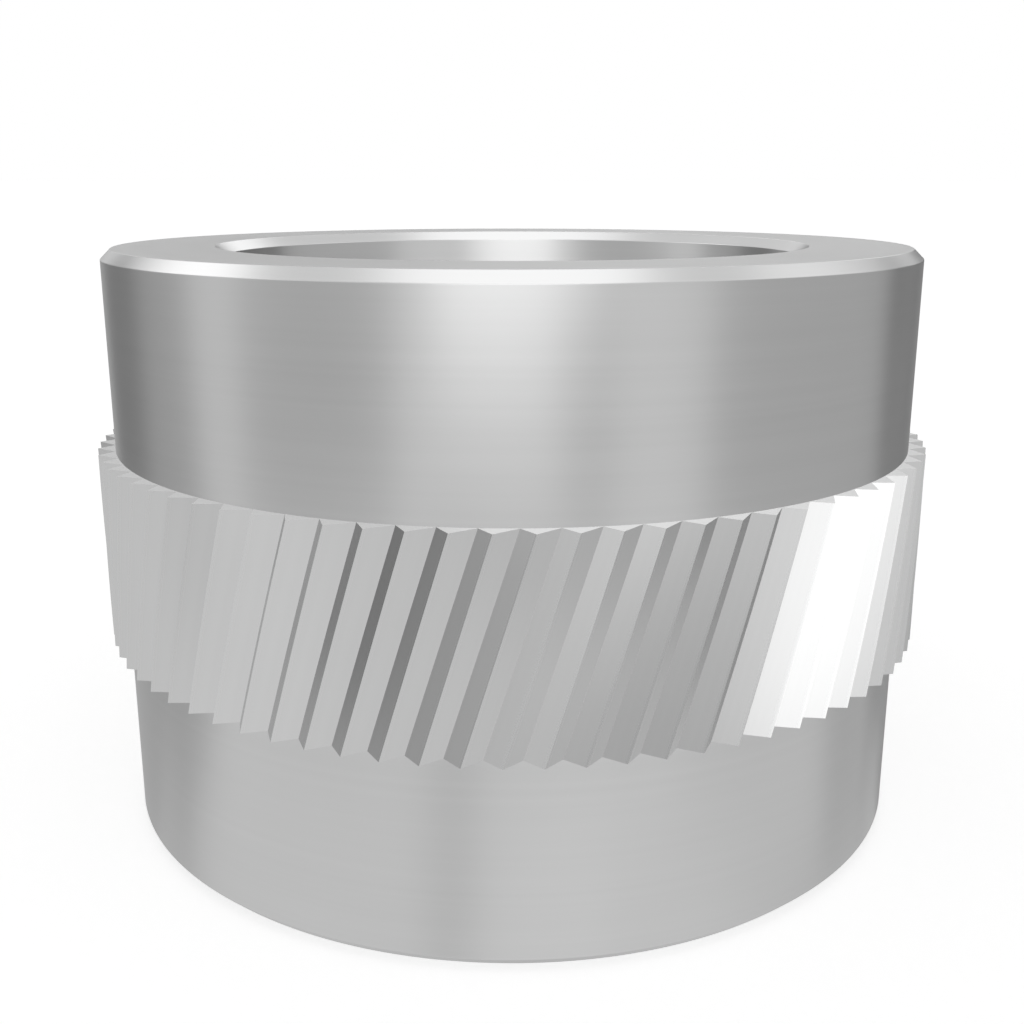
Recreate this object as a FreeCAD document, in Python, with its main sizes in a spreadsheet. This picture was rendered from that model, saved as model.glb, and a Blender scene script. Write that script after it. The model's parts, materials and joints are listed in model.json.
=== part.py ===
import FreeCAD, Part
import os
import Sketcher

# A compression limiter: a short turned aluminium tube that is pressed or
# moulded into a plastic part, so that a bolt clamps metal and not plastic.
# It is one piece, the same at both ends. A band of V ridges runs round its
# middle and holds it in the plastic. The ridges climb as a steep right-hand
# helix. Millimetres, +Z up, origin at the middle of the bottom face.

# Driving dimensions: each is written once and can be changed by itself.
SIZES = [
    ("bore_diameter", 9.05, "through hole, clears an M8 bolt"),
    ("wall_thickness", 1.825, "between the bore and the plain outside"),
    ("body_length", 9.0, "height, face to face"),
    ("rim_chamfer", 0.15, "45 degree break of the two outer rims"),
    ("bore_chamfer", 0.15, "45 degree break of the two bore mouths"),
    ("band_width", 3.0, "height of the knurled band, centred"),
    ("root_rise", 0.005, "ridge roots above the plain outside"),
    ("ridge_height", 0.255, "ridge crests above the roots"),
    ("ridge_count", 80, "ridges round the band"),
    ("crest_flat", 0.03, "width of the blank left on each crest"),
    ("helix_angle", 17.12, "lean of the crests from the axis, degrees"),
    ("groove_start", 1.25, "turn of the first groove from the front, degrees"),
    ("root_lead", 0.6, "turn of a root from mid groove, high end, degrees"),
]

# Sections that each groove cutter is lofted through.
SECTION_COUNT = 3
# How far the cutter runs past the two ends of the band.
OVERRUN = 0.2
# How far its V goes on past the crests, and its straight walls past that.
SHOULDER = 0.01
CLEARANCE = 0.3

# Formulas that several sketches share.
BORE = "(sizes.bore_diameter / 2)"
OUTER = "(%s + sizes.wall_thickness)" % BORE
ROOT = "(%s + sizes.root_rise)" % OUTER
CREST = "(%s + sizes.ridge_height)" % ROOT
BAND_LOW = "((sizes.body_length - sizes.band_width) / 2)"
BAND_HIGH = "((sizes.body_length + sizes.band_width) / 2)"


def make_sheet(doc):
    """The spreadsheet that holds the driving dimensions."""
    sheet = doc.addObject("Spreadsheet::Sheet", "sizes")
    for row, (alias, value, note) in enumerate(SIZES, start=1):
        sheet.set("A%d" % row, alias)
        sheet.set("B%d" % row, str(value))
        sheet.setAlias("B%d" % row, alias)
        sheet.set("C%d" % row, note)
    doc.recompute()
    return sheet


def origin_feature(body, role):
    """One of the body's own origin planes or axes, found by its role."""
    for feature in body.Origin.OriginFeatures:
        if feature.Role == role:
            return feature
    raise RuntimeError("no origin feature " + role)


def new_sketch(body, name, role):
    """An empty sketch on an origin plane of the body."""
    sketch = body.newObject("Sketcher::SketchObject", name)
    sketch.AttachmentSupport = [(origin_feature(body, role), "")]
    sketch.MapMode = "FlatFace"
    return sketch


def closed_outline(sketch, corners):
    """Lines from corner to corner and back to the first.

    Each corner is a pair of formulas. They only place it to begin with:
    the constraints that follow are what hold it.
    """
    points = [
        FreeCAD.Vector(sketch.evalExpression(x), sketch.evalExpression(y), 0)
        for x, y in corners
    ]
    count = len(points)
    for i in range(count):
        line = Part.LineSegment(points[i], points[(i + 1) % count])
        sketch.addGeometry(line)
    for i in range(count):
        joint = Sketcher.Constraint("Coincident", i, 2, (i + 1) % count, 1)
        sketch.addConstraint(joint)


def level(sketch, lines):
    """Hold these lines parallel to the sketch's X axis."""
    for line in lines:
        sketch.addConstraint(Sketcher.Constraint("Horizontal", line))


def upright(sketch, lines):
    """Hold these lines parallel to the sketch's Y axis."""
    for line in lines:
        sketch.addConstraint(Sketcher.Constraint("Vertical", line))


def distance(sketch, kind, start, end, name, formula):
    """A named distance from one point to another that follows a formula."""
    value = sketch.evalExpression(formula)
    sketch.addConstraint(Sketcher.Constraint(kind, *start, *end, value))
    sketch.renameConstraint(sketch.ConstraintCount - 1, name)
    sketch.setExpression("Constraints." + name, formula)


def across(sketch, line, name, formula):
    """Distance along X from the origin to the start of a line."""
    distance(sketch, "DistanceX", (-1, 1), (line, 1), name, formula)


def along(sketch, line, name, formula):
    """Distance along Y from the origin to the start of a line."""
    distance(sketch, "DistanceY", (-1, 1), (line, 1), name, formula)


def turned_blank(body):
    """The tube with its raised band, revolved from half of its section."""
    sketch = new_sketch(body, "half_section", "XZ_Plane")
    mouth = "%s + sizes.bore_chamfer" % BORE
    rim = "%s - sizes.rim_chamfer" % OUTER
    corners = [
        (mouth, "0"),
        (rim, "0"),
        (OUTER, "sizes.rim_chamfer"),
        (OUTER, BAND_LOW),
        (CREST, BAND_LOW),
        (CREST, BAND_HIGH),
        (OUTER, BAND_HIGH),
        (OUTER, "sizes.body_length - sizes.rim_chamfer"),
        (rim, "sizes.body_length"),
        (mouth, "sizes.body_length"),
        (BORE, "sizes.body_length - sizes.bore_chamfer"),
        (BORE, "sizes.bore_chamfer"),
    ]
    closed_outline(sketch, corners)
    low_face, low_rim, low_land, band_low, band_wall, band_high = range(6)
    high_land, high_rim, high_face, high_mouth, bore_wall, low_mouth = range(6, 12)

    level(sketch, [band_low, band_high, high_face])
    upright(sketch, [low_land, band_wall, high_land, bore_wall])
    for end in (1, 2):
        on_axis = Sketcher.Constraint("PointOnObject", low_face, end, -1)
        sketch.addConstraint(on_axis)
    across(sketch, low_land, "low_land_radius", OUTER)
    across(sketch, high_land, "high_land_radius", OUTER)
    across(sketch, band_wall, "band_radius", CREST)
    across(sketch, bore_wall, "bore_radius", BORE)
    along(sketch, band_low, "band_low", BAND_LOW)
    along(sketch, band_high, "band_high", BAND_HIGH)
    along(sketch, high_face, "top", "sizes.body_length")
    for line, name, alias, out, up in (
        (low_rim, "low_rim", "rim_chamfer", 1, 1),
        (high_rim, "high_rim", "rim_chamfer", -1, 1),
        (high_mouth, "high_mouth", "bore_chamfer", -1, -1),
        (low_mouth, "low_mouth", "bore_chamfer", 1, -1),
    ):
        legs = (("DistanceX", "_out", out), ("DistanceY", "_up", up))
        for kind, ending, sign in legs:
            formula = "%d * sizes.%s" % (sign, alias)
            distance(sketch, kind, (line, 1), (line, 2), name + ending, formula)

    blank = body.newObject("PartDesign::Revolution", "turned_blank")
    blank.Profile = sketch
    blank.ReferenceAxis = (sketch, ["V_Axis"])
    blank.Angle = 360
    return blank


def groove_section(body, index):
    """One section of the groove cutter: a V with straight walls above it.

    The sketch's X points outward along the middle of the groove. The sketch
    is lifted and turned to its place on the helix. The root starts in the
    middle of the groove and leads it as it climbs, so the groove's two
    flanks aren't quite alike.
    """
    share = index / (SECTION_COUNT - 1)
    climb = "(%s * (sizes.band_width + %s) - %s)" % (share, 2 * OVERRUN, OVERRUN)
    turn = "(%s * tan(sizes.helix_angle) / %s * 180 / pi)" % (climb, CREST)
    lead = "(sizes.root_lead * %s / sizes.band_width)" % climb
    half_flat = "(sizes.crest_flat / 2 / %s * 180 / pi)" % CREST
    half_groove = "(180 / sizes.ridge_count - %s)" % half_flat

    root_x = "%s * cos(%s)" % (ROOT, lead)
    root_y = "%s * sin(%s)" % (ROOT, lead)
    crest_x = "%s * cos(%s)" % (CREST, half_groove)
    crest_y = "%s * sin(%s)" % (CREST, half_groove)
    grow = "(1 + %s / sizes.ridge_height)" % SHOULDER
    top_x = "%s + %s * (%s - %s)" % (root_x, grow, crest_x, root_x)
    left_y = "%s + %s * (%s - %s)" % (root_y, grow, crest_y, root_y)
    right_y = "%s - %s * (%s + %s)" % (root_y, grow, crest_y, root_y)
    end_x = "%s + %s" % (CREST, CLEARANCE)

    sketch = new_sketch(body, "groove_section_%d" % index, "XY_Plane")
    sketch.setExpression("AttachmentOffset.Base.z", "%s + %s" % (BAND_LOW, climb))
    angle = "sizes.groove_start - 90 + %s" % turn
    sketch.setExpression("AttachmentOffset.Rotation.Angle", angle)
    corners = [
        (root_x, root_y),
        (top_x, left_y),
        (end_x, left_y),
        (end_x, right_y),
        (top_x, right_y),
    ]
    closed_outline(sketch, corners)
    left_flank, left_wall, back, right_wall, right_flank = range(5)
    level(sketch, [left_wall, right_wall])
    upright(sketch, [back])
    across(sketch, left_flank, "root_x", root_x)
    along(sketch, left_flank, "root_y", root_y)
    across(sketch, left_wall, "left_x", top_x)
    along(sketch, left_wall, "left_y", left_y)
    across(sketch, right_flank, "right_x", top_x)
    along(sketch, right_flank, "right_y", right_y)
    across(sketch, back, "end_x", end_x)
    return sketch


def knurl(body):
    """The V grooves between the ridges: one lofted cut, repeated round."""
    sections = [groove_section(body, index) for index in range(SECTION_COUNT)]
    groove = body.newObject("PartDesign::SubtractiveLoft", "groove")
    groove.Profile = sections[0]
    groove.Sections = sections[1:]
    groove.Refine = False
    body.Document.recompute()
    ring = body.newObject("PartDesign::PolarPattern", "groove_ring")
    ring.Originals = [groove]
    ring.Axis = (origin_feature(body, "Z_Axis"), [""])
    ring.Angle = 360
    ring.setExpression("Occurrences", "sizes.ridge_count")
    ring.Refine = False
    body.Tip = ring
    body.Document.recompute()
    return ring


def check(doc, body, blank_volume):
    """Stop if an object failed, or if the part isn't one sound cut solid."""
    for item in doc.Objects:
        if "Invalid" in item.State or "Error" in item.State:
            raise RuntimeError("failed: " + item.Name)
    if body.Shape.isNull() or not body.Shape.isValid():
        raise RuntimeError("no sound shape: " + body.Label)
    if len(body.Shape.Solids) != 1:
        raise RuntimeError("not one solid: " + body.Label)
    if body.Shape.Volume >= blank_volume:
        raise RuntimeError("the grooves cut nothing")


def main():
    doc = FreeCAD.newDocument("compression_limiter")
    make_sheet(doc)
    body = doc.addObject("PartDesign::Body", "limiter")
    body.Label = "limiter_body"
    body.Placement = FreeCAD.Placement()
    turned_blank(body)
    doc.recompute()
    blank_volume = body.Shape.Volume
    knurl(body)
    check(doc, body, blank_volume)
    os.makedirs("parts", exist_ok=True)
    body.Shape.exportStep("parts/%s.step" % body.Label)
    print(body.Label, "volume", round(body.Shape.Volume, 3), "mm3")


main()
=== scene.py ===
import json
import math
from collections import namedtuple

import bpy
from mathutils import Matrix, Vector


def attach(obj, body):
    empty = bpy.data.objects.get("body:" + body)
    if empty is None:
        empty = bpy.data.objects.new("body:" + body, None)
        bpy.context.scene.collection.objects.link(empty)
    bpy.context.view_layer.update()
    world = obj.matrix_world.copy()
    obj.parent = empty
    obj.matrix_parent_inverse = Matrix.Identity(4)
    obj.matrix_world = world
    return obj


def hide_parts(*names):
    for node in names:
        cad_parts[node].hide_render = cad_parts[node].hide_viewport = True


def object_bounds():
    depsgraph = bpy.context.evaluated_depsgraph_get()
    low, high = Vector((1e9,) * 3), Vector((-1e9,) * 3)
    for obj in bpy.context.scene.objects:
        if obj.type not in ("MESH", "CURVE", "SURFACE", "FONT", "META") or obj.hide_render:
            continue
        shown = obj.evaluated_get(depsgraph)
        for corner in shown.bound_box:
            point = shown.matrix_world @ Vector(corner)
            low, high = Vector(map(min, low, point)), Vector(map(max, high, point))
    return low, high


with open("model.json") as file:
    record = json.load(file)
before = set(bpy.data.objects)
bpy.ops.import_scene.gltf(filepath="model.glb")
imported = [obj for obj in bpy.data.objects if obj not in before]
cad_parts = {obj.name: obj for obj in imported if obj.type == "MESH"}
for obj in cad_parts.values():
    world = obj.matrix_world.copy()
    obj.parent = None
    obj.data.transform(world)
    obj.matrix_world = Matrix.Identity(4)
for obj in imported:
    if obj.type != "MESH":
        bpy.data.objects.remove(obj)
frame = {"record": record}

# A compression limiter: one turned aluminium tube with a band of helical V
# ridges, on a white floor. The part's lengths are millimetres until its mesh
# is made, and the studio's are metres. Angles are degrees in the values here.

MM = 0.001
cad_low, cad_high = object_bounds()

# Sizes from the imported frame.
MOUNTS = {mount["name"]: mount for mount in frame["record"]["mounts"]}
BORE_RADIUS = MOUNTS["bore"]["dims"]["r_mm"]
LAND_RADIUS = MOUNTS["low_land"]["dims"]["r_mm"]
CREST_RADIUS = MOUNTS["knurled_band"]["dims"]["r_mm"]
BAND_WIDTH = MOUNTS["knurled_band"]["dims"]["length_mm"]
BODY_LENGTH = (cad_high.z - cad_low.z) / MM

# Sizes that repeat the part's own driving dimensions.
CHAMFER = 0.15
RIDGE_HEIGHT = 0.255
RIDGE_COUNT = 80
HELIX_ANGLE = 17.12
GROOVE_START = 1.25
ROOT_LEAD = 0.6
# Where the grooves are counted from in the plan: the camera's side.
FRONT = -90

# What follows from them. The pitch is in radians, and the two turns are in
# radians to a millimetre of height.
ROOT_RADIUS = CREST_RADIUS - RIDGE_HEIGHT
BAND_LOW = (BODY_LENGTH - BAND_WIDTH) / 2
BAND_HIGH = (BODY_LENGTH + BAND_WIDTH) / 2
PITCH = math.tau / RIDGE_COUNT
CREST_TURN = math.tan(math.radians(HELIX_ANGLE)) / CREST_RADIUS
ROOT_TURN = CREST_TURN + math.radians(ROOT_LEAD) / BAND_WIDTH

# How finely the skin is divided, and the small arc on its turned edges.
FLANK_PARTS = 3
BAND_STEPS = 20
BORE_STEPS = 12
EDGE_STEPS = 3
EDGE_ROUND = 0.02
# Where the skin reaches out by more than this share of its climb, its tool
# marks lie along the radius, as a facing cut leaves them.
FACED_REACH = 0.9

# The metal. Its colour is linear. Its roughness stays above 0.274 but for
# the ridge tips: the denoiser leaves thin streaks where it crosses that.
METAL_COLOUR = (0.512, 0.513, 0.513)
METAL_ROUGHNESS = 0.281
# Tool marks: how many to a millimetre, how soon they fade along their
# length, and how deep they look, in metres.
MARKS_PER_MM = 12
MARK_FADE_PER_MM = 0.1
MARK_DEPTH = 0.12e-6
PATCHES_PER_MM = 0.45
# Finer layers in the noise of the marks and of the broader patches.
MARK_DETAIL = 1.0
PATCH_DETAIL = 3.0
# The range that the sum of both noises covers, and how much it changes the
# colour, as a share, and the roughness.
NOISE_LOW = 0.7
NOISE_HIGH = 1.3
TINT = 0.015
ROUGHNESS_CHANGE = 0.006
# The tips of the ridges are burnished: over this height their roughness
# falls by this much.
CREST_REACH = 0.03
CREST_SHINE = 0.05

# The floor is lit at the plain level and lifted to white where it is seen.
WHITE = (1, 1, 1, 1)
PLAIN_LEVEL = 0.6
FLOOR_COLOUR = (0.9, 0.9, 0.9, 1)
FLOOR_GLOW = 0.49
FLOOR_HALF_SIZE = 20.0

# Lamps and cards round the part. Azimuth 0 is the camera's side and 90 the
# right. The half width and half height are angles seen from the part, and
# the level is a brightness where the white of the studio is 1.
LAMP_DISTANCE = 0.4
SOFTBOXES = (
    # name, azimuth, elevation, half width, half height, level
    # The highlight down the upper land and the bore, and the white ridges.
    ("front_softbox", 1, 18, 22, 23, 1.2),
    # The bright fronts of the two upper chamfers.
    ("top_softbox", 13, 79, 20, 30, 0.88),
    # A faint light on the ridges right of the middle.
    ("left_softbox", -70, 15, 8, 15, 0.35),
    # The bright left and right ends of the rim's chamfer.
    ("back_left_softbox", -110, 37, 17, 11, 1.15),
    ("right_softbox", 100, 40, 20, 12, 0.45),
    # The top face, and the ledges over the ridges.
    ("back_softbox", 165, 25, 17, 8, 0.75),
)
# Each card stands nearer than the one before, and covers it.
CARD_DISTANCE = 3.0
CARD_STEP = 0.85
CARDS = (
    # The dark edges of the lands, and the grey of the top face.
    ("left_flag", -133, -12, 40, 18, 0.53),
    ("right_flag", 160, -5, 47, 15, 0.12),
    # The grey on both sides of the highlight.
    ("left_card", -53, -5, 22, 13, 0.62),
    ("right_card", 86, -15, 33, 20, 0.62),
    # The highlight's right side.
    ("low_card", 19, -7, 7, 10, 0.5),
    # The darkest stretch beside each edge, and the dark flanks.
    ("back_left_card", -131, 3, 14, 18, 0.25),
    ("back_right_card", 133, -4, 8, 28, 0.3),
    ("back_card", 156, -17, 12, 15, 0.3),
    # The soft streaks of the lower land, from left to right.
    ("under_card", -6, -28, 15, 15, 0.77),
    ("under_bounce", 9, -50, 17, 26, 1.07),
    ("right_bounce", 73, -26, 25, 7, 0.95),
    # The lower rim's chamfer, and the narrow flanks right of the middle.
    ("ground_card", 188, -62, 51, 27, 0.69),
)

# The photograph's view, and how near and how far the camera sees.
VIEW_ANGLE = 45.0
VIEW_TILT = 15.0
VIEW_DISTANCE = 21.122 * MM
CLIP_NEAR = 0.001
CLIP_FAR = 100.0
PART_MIDDLE = Vector((0, 0, BODY_LENGTH / 2 * MM))

# One level of the skin: its height, its points in the plan, and how each of
# them faces for the strip before it and for the strip after it. The two
# differ only at the roots and crests, which are sharp.
Ring = namedtuple("Ring", "height points before after")


def polar(radius, angle):
    """A point of the plan from its radius and angle."""
    return Vector((radius * math.cos(angle), radius * math.sin(angle)))


def flank_normal(across, point, turn):
    """How a flank faces at one of its points: it turns as it climbs."""
    along = Vector((-point.y * turn, point.x * turn, 1))
    normal = Vector((across.x, across.y, 0)).cross(along).normalized()
    outward = normal.x * point.x + normal.y * point.y > 0
    return normal if outward else -normal


def ridge_ring(height):
    """The knurl at one height, from root to crest to root."""
    climb = height - BAND_LOW
    ends = []
    for index in range(RIDGE_COUNT):
        start = math.radians(GROOVE_START + FRONT) + index * PITCH
        root = start + ROOT_TURN * climb
        crest = start + PITCH / 2 + CREST_TURN * climb
        ends.append((polar(ROOT_RADIUS, root), ROOT_TURN))
        ends.append((polar(CREST_RADIUS, crest), CREST_TURN))
    points, before, after = [], [], []
    for (start, start_turn), (end, end_turn) in zip(ends, ends[1:] + ends[:1]):
        for part in range(FLANK_PARTS + 1):
            share = part / FLANK_PARTS
            point = start.lerp(end, share)
            point_turn = start_turn + (end_turn - start_turn) * share
            normal = flank_normal(end - start, point, point_turn)
            if part < FLANK_PARTS:
                points.append(point)
                after.append(normal)
            if part > 0:
                before.append(normal)
    before.insert(0, before.pop())
    return Ring(height, points, before, after)


def round_ring(directions, radius, height, out=1.0, up=0.0):
    """A circle in the given directions, which faces out and up by so much."""
    points = [direction * radius for direction in directions]
    normals = [Vector((d.x * out, d.y * out, up)) for d in directions]
    return Ring(height, points, normals, normals)


def turned_directions(first, last, share):
    """Directions part of the way from one ring's to another's."""
    directions = []
    for a, b in zip(first, last):
        angle = math.atan2(a.y, a.x)
        step = (math.atan2(b.y, b.x) - angle + math.pi) % math.tau - math.pi
        directions.append(polar(1, angle + step * share))
    return directions


def rounded_corner(before, corner, after):
    """A small arc in place of a corner of the half section.

    Each of its points comes with the way that it faces.
    """
    before, corner, after = Vector(before), Vector(corner), Vector(after)
    one, two = (before - corner).normalized(), (after - corner).normalized()
    half = one.angle(two) / 2
    reach = EDGE_ROUND / math.tan(half)
    centre = corner + (one + two).normalized() * (EDGE_ROUND / math.sin(half))
    start, end = corner + one * reach - centre, corner + two * reach - centre
    arc = []
    for step in range(EDGE_STEPS + 1):
        spoke = start.lerp(end, step / EDGE_STEPS).normalized()
        arc.append((centre + spoke * EDGE_ROUND, spoke))
    return arc


def end_rings(directions, corners):
    """The rings of one end of the tube, from the corners of its section."""
    rings = []
    for before, corner, after in zip(corners, corners[1:], corners[2:]):
        for point, facing in rounded_corner(before, corner, after):
            rings.append(round_ring(directions, point.x, point.y, facing.x, facing.y))
    return rings


def body_rings():
    """The rings of the closed skin in order, and the first and last of the band.

    They run from the low bore mouth out, up past the band, and down the bore.
    """
    low, high = ridge_ring(BAND_LOW), ridge_ring(BAND_HIGH)
    low_directions = [point.normalized() for point in low.points]
    high_directions = [point.normalized() for point in high.points]
    mouth, rim, top = BORE_RADIUS + CHAMFER, LAND_RADIUS - CHAMFER, BODY_LENGTH
    low_corners = [(BORE_RADIUS, top / 2), (BORE_RADIUS, CHAMFER), (mouth, 0)]
    low_corners += [(rim, 0), (LAND_RADIUS, CHAMFER), (LAND_RADIUS, BAND_LOW)]
    high_corners = [(radius, top - height) for radius, height in low_corners[::-1]]

    rings = end_rings(low_directions, low_corners)
    rings.append(round_ring(low_directions, LAND_RADIUS, BAND_LOW))
    first = len(rings)
    for step in range(BAND_STEPS + 1):
        rings.append(ridge_ring(BAND_LOW + BAND_WIDTH * step / BAND_STEPS))
    last = len(rings) - 1
    rings.append(round_ring(high_directions, LAND_RADIUS, BAND_HIGH))
    rings += end_rings(high_directions, high_corners)
    start, end = rings[-1].height, rings[0].height
    for step in range(1, BORE_STEPS):
        share = step / BORE_STEPS
        directions = turned_directions(high_directions, low_directions, share)
        height = start + (end - start) * share
        rings.append(round_ring(directions, BORE_RADIUS, height, -1))
    return rings, first, last


def strip_finish(row, lower, upper, first, last):
    """Which material the strip above a ring has."""
    if first <= row < last:
        return "knurled"
    climb = abs(upper.height - lower.height)
    reach = abs(upper.points[0].length - lower.points[0].length)
    return "faced" if reach > FACED_REACH * climb else "turned"


def sharpen(mesh, columns, first, last):
    """Make the ledges' circles, and what climbs the band, sharp edges."""
    ledge_rows = (first - 1, first, last, last + 1)
    for edge in mesh.edges:
        one, two = sorted(index // columns for index in edge.vertices)
        on_ledge = one == two and one in ledge_rows
        edge.use_edge_sharp = on_ledge or first <= one < two <= last


def body_mesh(finishes):
    """The whole part as one closed skin, finer than the frame's mesh."""
    rings, first, last = body_rings()
    columns = len(rings[0].points)
    vertices = []
    for ring in rings:
        vertices += [(p.x * MM, p.y * MM, ring.height * MM) for p in ring.points]
    # The flat ledges under and over the ridges face straight down and up.
    ledges = {first - 1: Vector((0, 0, -1)), last: Vector((0, 0, 1))}
    faces, normals, materials = [], [], []
    for row, ring in enumerate(rings):
        above = (row + 1) % len(rings)
        finish = strip_finish(row, ring, rings[above], first, last)
        for column in range(columns):
            right = (column + 1) % columns
            corners = ((row, column), (row, right), (above, right), (above, column))
            faces.append([r * columns + c for r, c in corners])
            for r, c in corners:
                facings = rings[r].after if c == column else rings[r].before
                normals.append(ledges.get(row, facings[c]))
            materials.append(finishes.index(finish))
    mesh = bpy.data.meshes.new("limiter_skin")
    mesh.from_pydata(vertices, [], faces)
    sharpen(mesh, columns, first, last)
    for polygon, material in zip(mesh.polygons, materials):
        polygon.use_smooth = True
        polygon.material_index = material
    mesh.normals_split_custom_set(normals)
    return mesh


def maths(tree, operation, first, second):
    """A maths node. Its inputs are sockets or numbers."""
    node = tree.nodes.new("ShaderNodeMath")
    node.operation = operation
    for socket, value in zip(node.inputs, (first, second)):
        if isinstance(value, (int, float)):
            socket.default_value = value
        else:
            tree.links.new(value, socket)
    return node.outputs["Value"]


def mapped(tree, value, low, high, new_low, new_high):
    """A value moved from one range to another, and held inside it."""
    node = tree.nodes.new("ShaderNodeMapRange")
    node.inputs["From Min"].default_value = low
    node.inputs["From Max"].default_value = high
    node.inputs["To Min"].default_value = new_low
    node.inputs["To Max"].default_value = new_high
    tree.links.new(value, node.inputs["Value"])
    return node.outputs["Result"]


def noise(tree, x, y, z, detail):
    """A soft noise of about one bump to each unit of its three inputs."""
    place = tree.nodes.new("ShaderNodeCombineXYZ")
    for socket, value in zip(place.inputs, (x, y, z)):
        tree.links.new(value, socket)
    node = tree.nodes.new("ShaderNodeTexNoise")
    node.inputs["Scale"].default_value = 1.0
    node.inputs["Detail"].default_value = detail
    tree.links.new(place.outputs["Vector"], node.inputs["Vector"])
    return node.outputs["Fac"]


def times(tree, sockets, factor):
    """Each of the sockets times a number."""
    return [maths(tree, "MULTIPLY", socket, factor) for socket in sockets]


def colour_socket(sockets, name):
    """A mix node's colour socket. It has others of that name for other data."""
    return next(s for s in sockets if s.name == name and s.type == "RGBA")


def metal(name, marks_across):
    """Satin aluminium with fine tool marks round the axis.

    The marks follow each other up the height or out along the radius. On
    the flanks those along the radius run beside the crests.
    """
    material = bpy.data.materials.new(name)
    material.use_nodes = True
    tree = material.node_tree
    tree.nodes.clear()
    output = tree.nodes.new("ShaderNodeOutputMaterial")
    shader = tree.nodes.new("ShaderNodeBsdfPrincipled")
    tree.links.new(shader.outputs["BSDF"], output.inputs["Surface"])
    shader.inputs["Metallic"].default_value = 1.0

    coordinates = tree.nodes.new("ShaderNodeTexCoord")
    split = tree.nodes.new("ShaderNodeSeparateXYZ")
    tree.links.new(coordinates.outputs["Object"], split.inputs["Vector"])
    x, y, height = times(tree, split.outputs, 1 / MM)
    x_squared = maths(tree, "MULTIPLY", x, x)
    y_squared = maths(tree, "MULTIPLY", y, y)
    radius = maths(tree, "POWER", maths(tree, "ADD", x_squared, y_squared), 0.5)

    across = {"height": height, "radius": radius}[marks_across]
    mark_x, mark_y = times(tree, (x, y), MARK_FADE_PER_MM)
    mark_line = maths(tree, "MULTIPLY", across, MARKS_PER_MM)
    marks = noise(tree, mark_x, mark_y, mark_line, MARK_DETAIL)
    patches = noise(tree, *times(tree, (x, y, height), PATCHES_PER_MM), PATCH_DETAIL)
    both = maths(tree, "ADD", marks, patches)
    unevenness = mapped(tree, both, NOISE_LOW, NOISE_HIGH, 0, 1)

    tint = tree.nodes.new("ShaderNodeMix")
    tint.data_type = "RGBA"
    for end, amount in (("A", 1 - TINT), ("B", 1 + TINT)):
        colour = [channel * amount for channel in METAL_COLOUR]
        colour_socket(tint.inputs, end).default_value = colour + [1]
    tree.links.new(unevenness, tint.inputs["Factor"])
    tree.links.new(colour_socket(tint.outputs, "Result"), shader.inputs["Base Color"])

    low, high = METAL_ROUGHNESS - ROUGHNESS_CHANGE, METAL_ROUGHNESS + ROUGHNESS_CHANGE
    rough = mapped(tree, unevenness, 0, 1, low, high)
    tips = mapped(tree, radius, CREST_RADIUS - CREST_REACH, CREST_RADIUS, 0, CREST_SHINE)
    tree.links.new(maths(tree, "SUBTRACT", rough, tips), shader.inputs["Roughness"])

    bump = tree.nodes.new("ShaderNodeBump")
    bump.inputs["Distance"].default_value = MARK_DEPTH
    tree.links.new(marks, bump.inputs["Height"])
    tree.links.new(bump.outputs["Normal"], shader.inputs["Normal"])
    return material


def add_part():
    """The part's own skin in place of the frame's node."""
    finishes = {"turned": "height", "faced": "radius", "knurled": "radius"}
    skin = bpy.data.objects.new("limiter_skin", body_mesh(list(finishes)))
    bpy.context.collection.objects.link(skin)
    for name, marks_across in finishes.items():
        skin.data.materials.append(metal(name + "_aluminium", marks_across))
    skin.visible_glossy = False
    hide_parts("limiter_body")
    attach(skin, "root")
    return skin


def looked_at(tree):
    """One for camera, glossy and transmission rays, and zero for the rest."""
    path = tree.nodes.new("ShaderNodeLightPath").outputs
    direct = maths(tree, "MAXIMUM", path["Is Camera Ray"], path["Is Glossy Ray"])
    return maths(tree, "MAXIMUM", direct, path["Is Transmission Ray"])


def flat_panel(name, half_width, half_height, material):
    """A rectangle in the XY plane that stands outside the part."""
    x, y = half_width, half_height
    mesh = bpy.data.meshes.new(name)
    mesh.from_pydata([(-x, -y, 0), (x, -y, 0), (x, y, 0), (-x, y, 0)], [], [(0, 1, 2, 3)])
    mesh.materials.append(material)
    panel = bpy.data.objects.new(name, mesh)
    bpy.context.collection.objects.link(panel)
    return panel


def add_floor():
    """White paper under the part, with a soft shadow."""
    material = bpy.data.materials.new("white_floor")
    material.use_nodes = True
    tree = material.node_tree
    shader = tree.nodes["Principled BSDF"]
    shader.inputs["Base Color"].default_value = FLOOR_COLOUR
    shader.inputs["Roughness"].default_value = 1.0
    shader.inputs["Specular IOR Level"].default_value = 0.0
    shader.inputs["Emission Color"].default_value = WHITE
    glow = maths(tree, "MULTIPLY", looked_at(tree), FLOOR_GLOW)
    tree.links.new(glow, shader.inputs["Emission Strength"])
    material.cycles.emission_sampling = "NONE"
    floor = flat_panel("floor", FLOOR_HALF_SIZE, FLOOR_HALF_SIZE, material)
    floor.visible_glossy = False
    return floor


def add_world():
    """White where it is looked at, and the plain level elsewhere."""
    world = bpy.data.worlds.new("studio")
    bpy.context.scene.world = world
    world.use_nodes = True
    world.cycles.sampling_method = "NONE"
    tree = world.node_tree
    background = tree.nodes["Background"]
    background.inputs["Color"].default_value = WHITE
    level = mapped(tree, looked_at(tree), 0, 1, PLAIN_LEVEL, 1)
    tree.links.new(level, background.inputs["Strength"])


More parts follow.
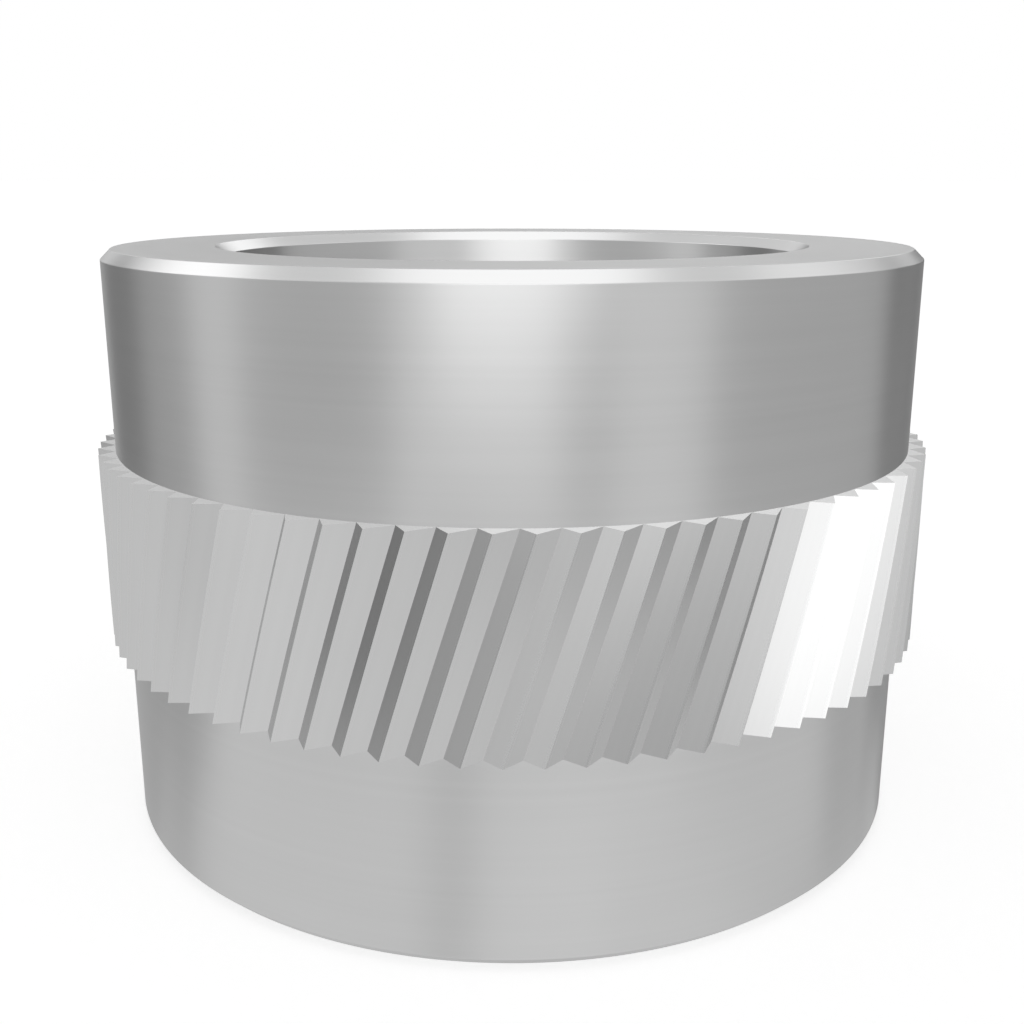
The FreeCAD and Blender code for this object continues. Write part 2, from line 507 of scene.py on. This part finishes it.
def aim(thing, azimuth, elevation, distance):
    """Put a lamp or card round the part, facing it."""
    a, e = math.radians(azimuth), math.radians(elevation)
    away = Vector((math.sin(a) * math.cos(e), -math.cos(a) * math.cos(e), math.sin(e)))
    thing.location = PART_MIDDLE + away * distance
    thing.rotation_mode = "QUATERNION"
    thing.rotation_quaternion = away.to_track_quat("Z", "Y")


def half_sizes(half_width, half_height, distance):
    """Lengths that cover these angles at this distance."""
    angles = (half_width, half_height)
    return [distance * math.tan(math.radians(angle)) for angle in angles]


def add_softboxes(lit, unshadowed):
    """Area lamps on the part alone. Nothing here throws a shadow from them."""
    for name, azimuth, elevation, half_width, half_height, level in SOFTBOXES:
        x, y = half_sizes(half_width, half_height, LAMP_DISTANCE)
        data = bpy.data.lights.new(name, "AREA")
        data.shape = "RECTANGLE"
        data.size, data.size_y = 2 * x, 2 * y
        # The watts that make a lamp of this size as bright as its level.
        data.energy = level * math.pi * data.size * data.size_y
        lamp = bpy.data.objects.new(name, data)
        bpy.context.collection.objects.link(lamp)
        aim(lamp, azimuth, elevation, LAMP_DISTANCE)
        lamp.visible_camera = False
        lamp.light_linking.receiver_collection = lit
        lamp.light_linking.blocker_collection = unshadowed


def add_cards():
    """Grey cards that only reflections show."""
    distance = CARD_DISTANCE
    for name, azimuth, elevation, half_width, half_height, level in CARDS:
        material = bpy.data.materials.new(name)
        material.use_nodes = True
        tree = material.node_tree
        tree.nodes.clear()
        output = tree.nodes.new("ShaderNodeOutputMaterial")
        glow = tree.nodes.new("ShaderNodeEmission")
        glow.inputs["Strength"].default_value = level
        tree.links.new(glow.outputs["Emission"], output.inputs["Surface"])
        material.cycles.emission_sampling = "NONE"
        card = flat_panel(name, *half_sizes(half_width, half_height, distance), material)
        aim(card, azimuth, elevation, distance)
        card.visible_camera = False
        card.visible_diffuse = False
        card.visible_transmission = False
        card.visible_volume_scatter = False
        card.visible_shadow = False
        distance *= CARD_STEP


def add_camera():
    """The photograph's view, aimed at the middle of the part."""
    data = bpy.data.cameras.new("camera")
    data.angle = math.radians(VIEW_ANGLE)
    data.clip_start = CLIP_NEAR
    data.clip_end = CLIP_FAR
    camera = bpy.data.objects.new("camera", data)
    bpy.context.collection.objects.link(camera)
    tilt = math.radians(VIEW_TILT)
    back = Vector((0, -math.cos(tilt), math.sin(tilt)))
    camera.location = PART_MIDDLE + back * VIEW_DISTANCE
    camera.rotation_euler = (math.pi / 2 - tilt, 0, 0)
    bpy.context.scene.camera = camera


def members(name, things, state):
    """A collection that a lamp's light linking includes or leaves out."""
    collection = bpy.data.collections.new(name)
    for thing in things:
        collection.objects.link(thing)
    for entry in collection.collection_objects:
        entry.light_linking.link_state = state
    return collection


skin = add_part()
floor = add_floor()
add_world()
add_softboxes(
    members("lit", [skin], "INCLUDE"),
    members("unshadowed", [skin, floor], "EXCLUDE"),
)
add_cards()
add_camera()
bpy.context.scene.view_settings.view_transform = "Standard"
